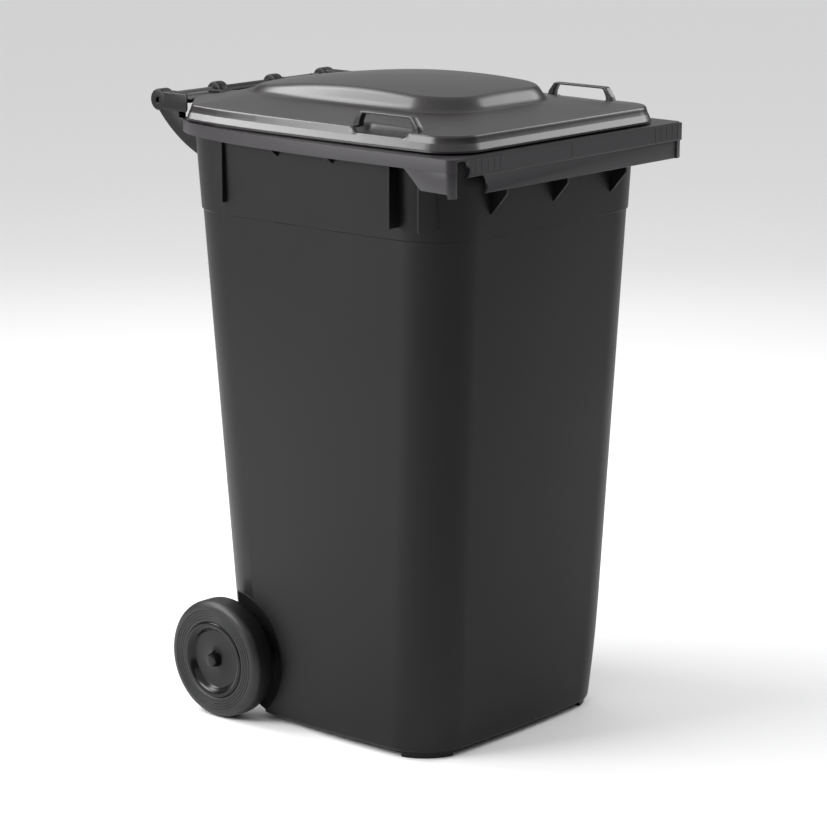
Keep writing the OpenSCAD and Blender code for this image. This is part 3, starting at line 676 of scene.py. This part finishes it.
class BIN_OT_handle(Operator):
    """Rear handle: hinge bosses on curved cheeks and webs, and the grip bar between them"""
    bl_idname = "bin.handle"
    bl_label = "Rear handle"

    def execute(self, context):
        tub = context.scene.bin_tub
        back = HINGE.y - tub.back
        boss = HANDLE_HIGH.z - HINGE.z
        out = HANDLE_HIGH.x
        bm = bmesh.new()
        self.boss(bm, out - BOSS_WIDTH, out, boss)
        self.boss(bm, LUG_IN, LUG_OUT, boss)
        cheek = bmesh.new()
        prism(cheek, self.cheek_outline(back), out - 20 * MM, out - 2.5 * MM, axis="X")
        soften(cheek, 2 * MM, segments=3, angle=60)
        arm = bmesh.new()
        prism(arm, self.arm_outline(out), RIM_HIGH.z + 8 * MM, HANDLE_HIGH.z - 3 * MM)
        soften(arm, 3 * MM, segments=4, angle=60)
        web = bmesh.new()
        prism(web, self.web_outline(back, 32 * MM), LUG_IN + 4 * MM, LUG_OUT - 4 * MM, axis="X")
        soften(web, 2 * MM, segments=2, angle=60)
        for part in (cheek, arm, web):
            joined(bm, part)
        mirrored(bm)
        end = LUG_IN + 2 * MM
        spun(bm, [(-end, 0), (-end, BAR_RADIUS), (end, BAR_RADIUS), (end, 0)], HINGE, steps=48)
        piece("handle", bm, "bin", shaded_body_plastic(context), ["rear_handle"])
        return {"FINISHED"}

    def boss(self, bm, low, high, radius):
        """Ring with rounded edges and the hole for the hinge pin."""
        hole, edge = PIN_BORE, 3 * MM
        arcs = [math.radians(a) for a in (0, 30, 60, 90)]
        outer = [(high - edge + edge * math.sin(a), radius - edge + edge * math.cos(a)) for a in arcs]
        inner = [(low + edge - edge * math.cos(a), radius - edge + edge * math.sin(a)) for a in arcs]
        profile = [(low, hole), *inner, *outer, (high, hole + MM), (high - MM, hole), (low, hole)]
        ring = bmesh.new()
        spun(ring, profile, HINGE, steps=64)
        joined(bm, ring)

    def sweep(self, back, under):
        """Concave arc (y, z) from the back wall up to a point under the hinge axis."""
        top_y, steps = HINGE.y - 6 * MM, 16
        reach, drop = top_y - back, 89 * MM - under
        radius = (reach * reach + drop * drop) / (2 * drop)
        centre = Vector((top_y, HINGE.z - under - radius))
        end = math.asin(min(1, reach / radius))
        turns = [end * k / steps for k in range(steps + 1)]
        return [centre + radius * Vector((-math.sin(a), math.cos(a))) for a in turns]

    def cheek_outline(self, back):
        """Side view (y, z) of the plate below an outer boss; its lower edge bulges outwards."""
        foot = Vector((back - 15 * MM, HINGE.z - 88 * MM))
        run = Vector((HINGE.y, HINGE.z - 19 * MM)) - foot
        out = Vector((run.y, -run.x)).normalized() * 8 * MM
        edge = [foot + run * s + out * 4 * s * (1 - s) for s in (k / 12 for k in range(13))]
        return [(back - 40 * MM, foot.y), *edge, (HINGE.y, HINGE.z), (back + 40 * MM, HINGE.z),
                (back + 40 * MM, RIM_HIGH.z - 2 * MM), (back - 40 * MM, RIM_HIGH.z - 2 * MM)]

    def arm_outline(self, out):
        """Plan view (x, y) of the arm; its end follows the slanting edge of the lid."""
        slant, gap = 80 / 86, 4 * MM
        inner, outer = out - BOSS_WIDTH + 2 * MM, out - 0.4 * MM
        start = LID_BACK + gap
        return [(inner, HINGE.y), (outer, HINGE.y), (outer, start - (out - LID_BACK_HALF) * slant),
                (inner, start - (inner - LID_BACK_HALF) * slant)]

    def web_outline(self, back, under):
        """Side view (y, z) of the web that carries an inner boss."""
        sweep = self.sweep(back, under)
        ledge, root = RIM_HIGH.z - 4 * MM, back - 30 * MM
        return [(HINGE.y, HINGE.z - 12 * MM), (HINGE.y - 4 * MM, HINGE.z - under), *sweep,
                (root, sweep[-1].y), (root, ledge), (HINGE.y - 17 * MM, ledge),
                (HINGE.y - 13 * MM, HINGE.z - 4 * MM), (HINGE.y, HINGE.z)]


class BIN_OT_lid(Operator):
    """Lid shell with its stepped skirt, crown, raised panel, hand notch, pockets and hinge barrels"""
    bl_idname = "bin.lid"
    bl_label = "Lid"

    # Section of the skirt from its lower edge up: steps inwards and upwards, in millimetres
    SKIRT = ((0.2, 3.0), (0.9, 0.6), (2.9, 8.2), (0.7, 0.5), (0.5, 0.9), (2.3, 7.2),
             (0.5, 1.9), (0.9, 1.7), (1.4, 1.1), (1.8, 0.5), (2.2, 0.1))

    def execute(self, context):
        lid = context.scene.bin_lid
        bm = bmesh.new()
        outline = self.outline(lid)
        bm.faces.new([bm.verts.new((p.x, p.y, LID_LOW.z)) for p in outline])
        bmesh.ops.recalc_face_normals(bm, faces=bm.faces)
        if bm.faces[:][0].normal.z < 0:
            bmesh.ops.reverse_faces(bm, faces=bm.faces)
        for inwards, upwards in self.SKIRT:
            bmesh.ops.inset_region(bm, faces=self.cap(bm), thickness=inwards * MM, depth=upwards * MM,
                                   use_boundary=True, use_even_offset=True)
        cap = self.cap(bm)[0]
        edge = [v.co.copy() for v in cap.verts]
        top = edge[0].z
        step = lid.mesh_step
        cut_at(bm, "X", spread(LID_LOW.x, LID_HIGH.x, step), keep=lambda f: abs(f.normal.x) < 0.35)
        cut_at(bm, "Y", spread(LID_LOW.y, HINGE.y, step), keep=lambda f: abs(f.normal.y) < 0.35)
        self.shape(bm, lid, edge, top)
        shell = self.shell(bm, lid)
        self.barrels(shell)
        finish = plastic("moulded_HDPE_lid", context.scene.bin_finishes.lid, 0.3, sheen=0.5)
        piece("lid_shell", shell, "lid", finish, ["lid"], sharp=40)
        return {"FINISHED"}

    def cap(self, bm):
        """The large flat face that closes the skirt's top."""
        return [f for f in bm.faces if f.normal.z > 0.99 and f.calc_area() > 0.1]

    def outline(self, lid):
        """Plan outline (x, y) of the skirt's lower edge."""
        half, front = LID_HIGH.x, LID_LOW.y
        tub_back = HINGE.y - bpy.context.scene.bin_tub.back
        reach = math.sqrt(lid.notch ** 2 - (HINGE.y - LID_BACK) ** 2)
        start, steps = math.asin(reach / lid.notch), 24
        turns = [start * k / steps for k in range(steps, -steps - 1, -1)]
        arc = [(lid.notch * math.sin(a), HINGE.y - lid.notch * math.cos(a)) for a in turns]
        right = [(half - 4 * MM, front, lid.corner), (half, front + 190 * MM, 5500 * MM),
                 (half - 3 * MM, tub_back - 185 * MM, 1500 * MM),
                 (half - 10 * MM, tub_back - 90 * MM, 600 * MM),
                 (half - 23 * MM, tub_back - 17 * MM, 22 * MM), (LID_BACK_HALF + 2 * MM, LID_BACK, 14 * MM)]
        left = [(-x, y, r) for x, y, r in reversed(right)]
        return rounded([(0, front, 0), *right, *[(x, y, 0) for x, y in arc], *left], turn=7)

    def shape(self, bm, lid, edge, top):
        """Raises the crown and the panel, and sinks the pockets."""
        ring = []
        for a, b in zip(edge, edge[1:] + edge[:1]):
            count = max(1, round((b - a).length / (3 * MM)))
            ring += [a.lerp(b, k / count) for k in range(count)]
        tree = KDTree(len(ring))
        for i, point in enumerate(ring):
            tree.insert(point, i)
        tree.balance()
        foot_front = LID_LOW.y + 105 * MM
        foot_back = HINGE.y - bpy.context.scene.bin_tub.back - 10 * MM
        middle, reach = (foot_front + foot_back) / 2, (foot_back - foot_front) / 2
        for vert in bm.verts:
            x, y, z = vert.co
            inside = self.inside(abs(x), y - middle, lid.panel_half, reach, lid.panel_corner)
            if z > top - 0.01 * MM:
                away = tree.find(Vector((x, y, top)))[2]
                share = away / (away + max(0, -inside)) if away > 0 else 0
                z += lid.crown * ease(share, 0.06) if inside < 0 else lid.crown
                along = max(0, min(1, (y - foot_front) / (foot_back - foot_front)))
                height = lid.panel_front * (1 - along) * (1 - 2 * along)
                height += lid.panel_middle * 4 * along * (1 - along)
                height += lid.panel_rear * along * (2 * along - 1)
                height -= lid.panel_dome * (x / lid.panel_half) ** 2
                z += max(0, height - lid.crown) * ease(inside / lid.panel_slope, 0.35)
            vert.co.z = z - self.pocket(lid, abs(x), y, z)

    def inside(self, x, y, half_x, half_y, radius):
        """Distance inside a rounded rectangle, negative outside it."""
        dx, dy = x - half_x + radius, abs(y) - half_y + radius
        outside = math.hypot(max(dx, 0), max(dy, 0))
        return radius - outside - min(max(dx, dy), 0)

    def pocket(self, lid, x, y, z):
        """How far the surface is sunk under a grab."""
        floor = LID_LOW.z + lid.skirt - lid.pocket
        middle = (GRAB_LOW.y + GRAB_HIGH.y) / 2
        reach = (GRAB_HIGH.y - GRAB_LOW.y) / 2 - 10 * MM
        across = ease((x - GRAB_LOW.x + 10 * MM) / (12 * MM), 0.3)
        along = ease((reach - abs(y - middle)) / (9 * MM), 0.3)
        return max(0, z - floor) * across * along

    def shell(self, bm, lid):
        """Gives the surface its wall."""
        mesh = bpy.data.meshes.new("scratch")
        bm.to_mesh(mesh)
        bm.free()
        holder = added("scratch", mesh)
        wall = holder.modifiers.new("wall", "SOLIDIFY")
        wall.thickness = lid.wall * 0.8
        wall.offset = -1
        graph = bpy.context.evaluated_depsgraph_get()
        result = bpy.data.meshes.new_from_object(holder.evaluated_get(graph))
        shell = bmesh.new()
        shell.from_mesh(result)
        bpy.data.objects.remove(holder)
        bpy.data.meshes.remove(mesh)
        bpy.data.meshes.remove(result)
        return shell

    def barrels(self, bm):
        """Tubes that turn on the hinge pins, and the plates that carry them."""
        outer, inner, edge = BAR_RADIUS, PIN_BORE, MM
        low, high = LUG_OUT + PIVOT_GAP, HANDLE_HIGH.x - BOSS_WIDTH - PIVOT_GAP
        part = bmesh.new()
        spun(part, [(low, inner), (low, outer - edge), (low + edge, outer), (high - edge, outer),
                    (high, outer - edge), (high, inner), (low, inner)], HINGE, steps=48)
        near = HINGE.y - 7 * MM
        plate = bmesh.new()
        prism(plate, [(low, near), (high, near), (high, LID_BACK - 26 * MM),
                      (LID_BACK_HALF - 14 * MM, LID_BACK - 6 * MM), (low, LID_BACK - 6 * MM)],
              HINGE.z - 4 * MM, HINGE.z + 3 * MM)
        soften(plate, 1.2 * MM, segments=2)
        for solid in (part, plate):
            mirrored(solid)
            joined(bm, solid)


class BIN_OT_grabs(Operator):
    """Thin loop grabs with flaring legs over the lid's pockets"""
    bl_idname = "bin.grabs"
    bl_label = "Lid grabs"

    def execute(self, context):
        finish = plastic("moulded_HDPE_lid", context.scene.bin_finishes.lid, 0.3)
        middle = (GRAB_LOW.y + GRAB_HIGH.y) / 2
        half = (GRAB_HIGH.y - GRAB_LOW.y) / 2
        low, high = GRAB_LOW.z - 4 * MM, GRAB_HIGH.z
        knee, under = low + 9 * MM, high - 3.4 * MM
        outer = [(middle - half, low, 0), (middle - half + 3 * MM, knee, 6 * MM),
                 (middle - half + 15 * MM, high, 7 * MM), (middle + half - 15 * MM, high, 7 * MM),
                 (middle + half - 3 * MM, knee, 6 * MM), (middle + half, low, 0)]
        inner = [(middle + half - 13 * MM, low, 0), (middle + half - 14 * MM, knee, 8 * MM),
                 (middle + half - 20 * MM, under, 5 * MM), (middle - half + 20 * MM, under, 5 * MM),
                 (middle - half + 14 * MM, knee, 8 * MM), (middle - half + 13 * MM, low, 0)]
        for side, sign in (("left", -1), ("right", 1)):
            bm = bmesh.new()
            prism(bm, rounded(outer + inner, turn=12), GRAB_LOW.x, GRAB_HIGH.x, axis="X")
            soften(bm, 1.1 * MM, segments=3, angle=50, keep=lambda e: width(e) < 0.1 * MM)
            if sign < 0:
                turned_over(bm)
            piece(f"grab_{side}", bm, "lid", finish, [f"lid_grab_{side}"])
        return {"FINISHED"}


class BIN_OT_wheels(Operator):
    """Solid tyres with grooved sides and closed hubs with a ring and a knob"""
    bl_idname = "bin.wheels"
    bl_label = "Wheels"

    def execute(self, context):
        wheel, finishes = context.scene.bin_wheel, context.scene.bin_finishes
        rubber = rubber_material(finishes.tyre)
        hub_finish = plastic("moulded_PP_hub", finishes.wheel, 0.24)
        kinds = (("tyre", self.tyre(wheel), rubber), ("wheel_hub", self.hub(wheel), hub_finish))
        for side, sign in (("left", -1), ("right", 1)):
            for name, profile, finish in kinds:
                bm = bmesh.new()
                spun(bm, profile, WHEEL, steps=160)
                if name == "wheel_hub":
                    self.spokes(bm, wheel)
                if sign < 0:
                    turned_over(bm)
                piece(f"{name}_{side}_moulding", bm, f"wheel_{side}", finish, [f"{name}_{side}"],
                      sharp=28)
        return {"FINISHED"}

    def tyre(self, wheel):
        """Section of the tyre (distance out, radius)."""
        inner, outer = TYRE_LOW.x, TYRE_HIGH.x
        radius, round_off = TYRE_HIGH.z / 2, wheel.shoulder
        near, away, low = inner + round_off, outer - round_off, radius - round_off
        arcs = [math.radians(a) for a in range(0, 91, 15)]
        profile = [(inner, wheel.seat), (inner, low)]
        profile += [(near - round_off * math.cos(a), low + round_off * math.sin(a)) for a in arcs[1:]]
        profile += [(away + round_off * math.sin(a), low + round_off * math.cos(a)) for a in arcs]
        depth = outer - wheel.groove
        for n in range(4):
            edge = low - (2 + 4.4 * n) * MM
            profile += [(outer, edge), (depth, edge - 0.6 * MM), (depth, edge - 1.4 * MM),
                        (outer, edge - 2 * MM)]
        profile += [(outer, wheel.seat + 1.5 * MM), (outer - MM, wheel.seat), (inner, wheel.seat)]
        return profile

    # Hub's raised ring from its outer edge inwards: steps out past the tyre's side and in from the
    # seat, in millimetres
    RING = ((-1.5, 0.1), (0.6, 1.6), (1.4, 4), (1.2, 6.5), (0.2, 9), (-1.8, 11.5), (-4.5, 13.5),
            (-7.4, 15), (-8.8, 16.5), (-9, 19))

    def hub(self, wheel):
        """Section of the hub (distance out, radius)."""
        inner, outer = HUB_LOW.x, TYRE_HIGH.x
        barrel, disc = 22 * MM, outer - 14 * MM
        seat, rim = wheel.seat, wheel.seat - 6 * MM
        rim_in, bore_end = TYRE_LOW.x + 2 * MM, outer - 2 * MM
        tip, knob = HUB_HIGH.x, wheel.knob
        back = [(bore_end, 0), (bore_end, AXLE_BORE), (inner, AXLE_BORE), (inner, barrel), (disc, barrel),
                (disc, rim), (rim_in, rim), (rim_in, seat - 0.1 * MM)]
        ring = [(outer + x * MM, seat - r * MM) for x, r in self.RING]
        middle = [(outer - 9 * MM, knob + 3 * MM), (outer - 8.2 * MM, knob + 1.4 * MM),
                  (outer - 6 * MM, knob + 0.4 * MM), (tip - 2.6 * MM, knob - 1 * MM),
                  (tip - 0.8 * MM, knob - 2 * MM), (tip, knob - 4 * MM), (tip, 0)]
        return back + ring + middle

    def spokes(self, bm, wheel):
        """Ribs behind the disc."""
        for turn in range(30, 390, 60):
            verts = block(bm, (TYRE_LOW.x + 6 * MM, WHEEL.y - 2 * MM, WHEEL.z + 20 * MM),
                          (TYRE_HIGH.x - 13 * MM, WHEEL.y + 2 * MM, WHEEL.z + wheel.seat - 5 * MM))
            bmesh.ops.rotate(bm, verts=verts, cent=WHEEL, matrix=Matrix.Rotation(math.radians(turn), 3, "X"))


class BIN_OT_hardware(Operator):
    """Axle, hinge pins, washers and the latch pieces inside the hubs"""
    bl_idname = "bin.hardware"
    bl_label = "Axle and hardware"

    def execute(self, context):
        finishes = context.scene.bin_finishes
        steel = zinc_steel(finishes.steel)
        black = plastic("moulded_PA_black", finishes.wheel, 0.35)
        carried_over = (("axle_washer", black), ("latch_pin", steel), ("latch_spring", steel),
                        ("latch_plug", black))
        bm = bmesh.new()
        radius, groove = (AXLE_HIGH.z - AXLE_LOW.z) / 2, 2.6 * MM
        end, latch = AXLE_HIGH.x, TYRE_LOW.x + 20 * MM
        half = 3.4 * MM
        right = [(latch - half, radius), (latch - half, radius - groove), (latch + half, radius - groove),
                 (latch + half, radius), (end - 1.5 * MM, radius), (end, radius - 1.5 * MM), (end, 0)]
        left = [(-x, r) for x, r in reversed(right)]
        spun(bm, left + right, WHEEL, steps=64)
        piece("axle_bar", bm, "bin", steel, ["axle"])
        for side, sign in (("left", -1), ("right", 1)):
            bm = bmesh.new()
            pin, hollow = 5 * MM, 2.5 * MM
            low, high = PIN_LOW.x, PIN_HIGH.x
            floor = high - 6 * MM
            spun(bm, [(low, 0), (low, pin - MM), (low + MM, pin), (high, pin), (high, hollow + 0.2 * MM),
                      (floor, hollow), (floor, 0)], HINGE, steps=48)
            if sign < 0:
                turned_over(bm)
            piece(f"pin_{side}", bm, "bin", black, [f"hinge_pin_{side}"])
            for kind, finish in carried_over:
                carried = frame["nodes"][f"{kind}_{side}"]
                carried.data.materials.clear()
                carried.data.materials.append(finish)
        return {"FINISHED"}


# ---------------------------------------------------------------- materials

def node(tree, kind, links=(), **settings):
    """Adds a shader node, sets its properties and inputs, and links its inputs to sockets."""
    made = tree.nodes.new(kind)
    for key, value in settings.items():
        if hasattr(made, key):
            setattr(made, key, value)
        else:
            made.inputs[key.replace("_", " ")].default_value = value
    for name, socket in links:
        tree.links.new(socket, made.inputs[name])
    return made


def fresh_material(name):
    """A new material with a Principled shader, or the one that already has the name."""
    found = bpy.data.materials.get(name)
    if found:
        return found, None, None
    material = bpy.data.materials.new(name)
    material.use_nodes = True
    tree = material.node_tree
    return material, tree, tree.nodes["Principled BSDF"]


def plastic(name, base, roughness, sheen=0.3):
    """Injection-moulded plastic: a satin skin with the fine grain of the mould and faint flow shading."""
    material, tree, shader = fresh_material(name)
    if tree is None:
        return material
    shader.inputs["IOR"].default_value = 1.5
    shader.inputs["Specular IOR Level"].default_value = sheen
    place = node(tree, "ShaderNodeTexCoord").outputs["Object"]
    flow = node(tree, "ShaderNodeTexNoise", [("Vector", place)], Scale=7.0, Detail=3.0, Roughness=0.5)
    # The mould's grain is drawn at 0.9 mm, coarser than it is, so that it shows
    grain_size = 0.9 * MM
    grain = node(tree, "ShaderNodeTexNoise", [("Vector", place)], Scale=1 / grain_size, Detail=2.0,
                 Roughness=0.6)
    tint = node(tree, "ShaderNodeMapRange", [("Value", flow.outputs["Fac"])], To_Min=0.9, To_Max=1.1)
    shade = node(tree, "ShaderNodeMix", [("Factor", flow.outputs["Fac"])], data_type="RGBA")
    shade.inputs[6].default_value = (*[c * 0.86 for c in base], 1)
    shade.inputs[7].default_value = (*[min(1, c * 1.14) for c in base], 1)
    tree.links.new(shade.outputs[2], shader.inputs["Base Color"])
    gloss = node(tree, "ShaderNodeMath", [(0, tint.outputs["Result"])], operation="MULTIPLY")
    gloss.inputs[1].default_value = roughness
    tree.links.new(gloss.outputs["Value"], shader.inputs["Roughness"])
    bump = node(tree, "ShaderNodeBump", [("Height", grain.outputs["Fac"])], Strength=0.12, Distance=0.05 * MM)
    tree.links.new(bump.outputs["Normal"], shader.inputs["Normal"])
    return material


def shaded_body_plastic(context):
    """The duller plastic of the tub, the rim's ribs and the handle. Its colour is a darker copy of the rim's
    HDPE: painted shade.
    """
    return plastic("moulded_HDPE_body_painted_shade", context.scene.bin_finishes.body, 0.42, sheen=0.25)


def rubber_material(base):
    """Solid rubber: dull black skin, slightly mottled."""
    material, tree, shader = fresh_material("solid_rubber_tyre")
    if tree is None:
        return material
    shader.inputs["IOR"].default_value = 1.52
    place = node(tree, "ShaderNodeTexCoord").outputs["Object"]
    mottle = node(tree, "ShaderNodeTexNoise", [("Vector", place)], Scale=60.0, Detail=5.0, Roughness=0.6)
    gloss = node(tree, "ShaderNodeMapRange", [("Value", mottle.outputs["Fac"])], To_Min=0.38, To_Max=0.56)
    tree.links.new(gloss.outputs["Result"], shader.inputs["Roughness"])
    shade = node(tree, "ShaderNodeMix", [("Factor", mottle.outputs["Fac"])], data_type="RGBA")
    shade.inputs[6].default_value = (*[c * 0.7 for c in base], 1)
    shade.inputs[7].default_value = (*[c * 1.4 for c in base], 1)
    tree.links.new(shade.outputs[2], shader.inputs["Base Color"])
    bump = node(tree, "ShaderNodeBump", [("Height", mottle.outputs["Fac"])], Strength=0.15, Distance=0.2 * MM)
    tree.links.new(bump.outputs["Normal"], shader.inputs["Normal"])
    return material


def zinc_steel(base):
    """Zinc-plated steel bar: bright, with fine marks drawn along the bar."""
    material, tree, shader = fresh_material("zinc_plated_steel")
    if tree is None:
        return material
    shader.inputs["Metallic"].default_value = 1.0
    shader.inputs["Base Color"].default_value = (*base, 1)
    place = node(tree, "ShaderNodeTexCoord").outputs["Object"]
    drawn = node(tree, "ShaderNodeMapping", [("Vector", place)], Scale=(8.0, 400.0, 400.0))
    marks = node(tree, "ShaderNodeTexNoise", [("Vector", drawn.outputs["Vector"])], Scale=1.0, Detail=3.0)
    gloss = node(tree, "ShaderNodeMapRange", [("Value", marks.outputs["Fac"])], To_Min=0.24, To_Max=0.42)
    tree.links.new(gloss.outputs["Result"], shader.inputs["Roughness"])
    return material


# ---------------------------------------------------------------- stage

class BIN_OT_stage(Operator):
    """Pale floor, soft studio lights and the camera"""
    bl_idname = "bin.stage"
    bl_label = "Stage"

    def execute(self, context):
        settings, finishes = context.scene.bin_stage, context.scene.bin_finishes
        self.camera(context, settings)
        self.floor(finishes)
        self.world(context)
        target = Vector(settings.target)
        for softbox in SOFTBOXES:
            self.light(target, *softbox)
        self.sun()
        context.scene.view_settings.view_transform = "Standard"
        return {"FINISHED"}

    def bearing(self, azimuth, elevation):
        """Unit vector away from the bin at a bearing; 0 is in front of it."""
        a, e = math.radians(azimuth), math.radians(elevation)
        return Vector((math.sin(a) * math.cos(e), -math.cos(a) * math.cos(e), math.sin(e)))

    def camera(self, context, settings):
        """Camera at the bearing from which the bin is shown."""
        data = bpy.data.cameras.new("camera")
        data.lens = settings.lens
        camera = added("camera", data)
        back = self.bearing(settings.azimuth, settings.elevation)
        camera.location = Vector(settings.target) + back * settings.distance
        camera.rotation_mode = "QUATERNION"
        camera.rotation_quaternion = (-back).to_track_quat("-Z", "Y")
        context.scene.camera = camera

    def floor(self, finishes):
        """Wide pale floor."""
        bm = bmesh.new()
        bmesh.ops.create_grid(bm, x_segments=1, y_segments=1, size=30)
        mesh = bpy.data.meshes.new("floor")
        bm.to_mesh(mesh)
        bm.free()
        floor = added("floor", mesh)
        material, _, shader = fresh_material("matt_white_floor")
        shader.inputs["Base Color"].default_value = (*finishes.floor, 1)
        shader.inputs["Roughness"].default_value = 0.9
        mesh.materials.append(material)

    def world(self, context):
        """Even, pale surroundings."""
        world = bpy.data.worlds.new("studio")
        world.use_nodes = True
        background = world.node_tree.nodes["Background"]
        background.inputs["Color"].default_value = (1, 1, 1, 1)
        background.inputs["Strength"].default_value = 0.12
        context.scene.world = world

    def sun(self):
        """Broad, even light from above that brightens the floor."""
        data = bpy.data.lights.new("ceiling_light", "SUN")
        data.energy = 1.9
        data.angle = math.radians(120)
        added("ceiling_light", data)

    def light(self, target, name, azimuth, elevation, distance, size, power):
        """One square softbox that faces the bin."""
        data = bpy.data.lights.new(name, "AREA")
        data.size = size
        data.energy = power
        lamp = added(name, data)
        back = self.bearing(azimuth, elevation)
        lamp.location = target + back * distance
        lamp.rotation_mode = "QUATERNION"
        lamp.rotation_quaternion = (-back).to_track_quat("-Z", "Y")


class BIN_PT_panel(Panel):
    """Lists the pieces of the bin and their sizes"""
    bl_label = "Wheelie bin"
    bl_idname = "BIN_PT_panel"
    bl_space_type = "VIEW_3D"
    bl_region_type = "UI"
    bl_category = "Bin"

    def draw(self, context):
        for operator in OPERATORS:
            self.layout.operator(operator.bl_idname)
        for name, group in GROUPS.items():
            for key in group.__annotations__:
                self.layout.prop(getattr(context.scene, name), key)


GROUPS = {"bin_tub": TubSizes, "bin_rim": RimSizes, "bin_lid": LidSizes, "bin_wheel": WheelSizes,
          "bin_finishes": Finishes, "bin_stage": StageSettings}
OPERATORS = (BIN_OT_stage, BIN_OT_tub, BIN_OT_rim, BIN_OT_handle, BIN_OT_lid, BIN_OT_grabs, BIN_OT_wheels,
             BIN_OT_hardware)


def register():
    for group in GROUPS.values():
        bpy.utils.register_class(group)
    for item in (*OPERATORS, BIN_PT_panel):
        bpy.utils.register_class(item)
    for name, group in GROUPS.items():
        setattr(bpy.types.Scene, name, PointerProperty(type=group))


def unregister():
    for name in GROUPS:
        delattr(bpy.types.Scene, name)
    for item in (BIN_PT_panel, *reversed(OPERATORS), *GROUPS.values()):
        bpy.utils.unregister_class(item)


def main():
    register()
    for operator in OPERATORS:
        area, name = operator.bl_idname.split(".")
        getattr(getattr(bpy.ops, area), name)()


if __name__ == "__main__":
    main()
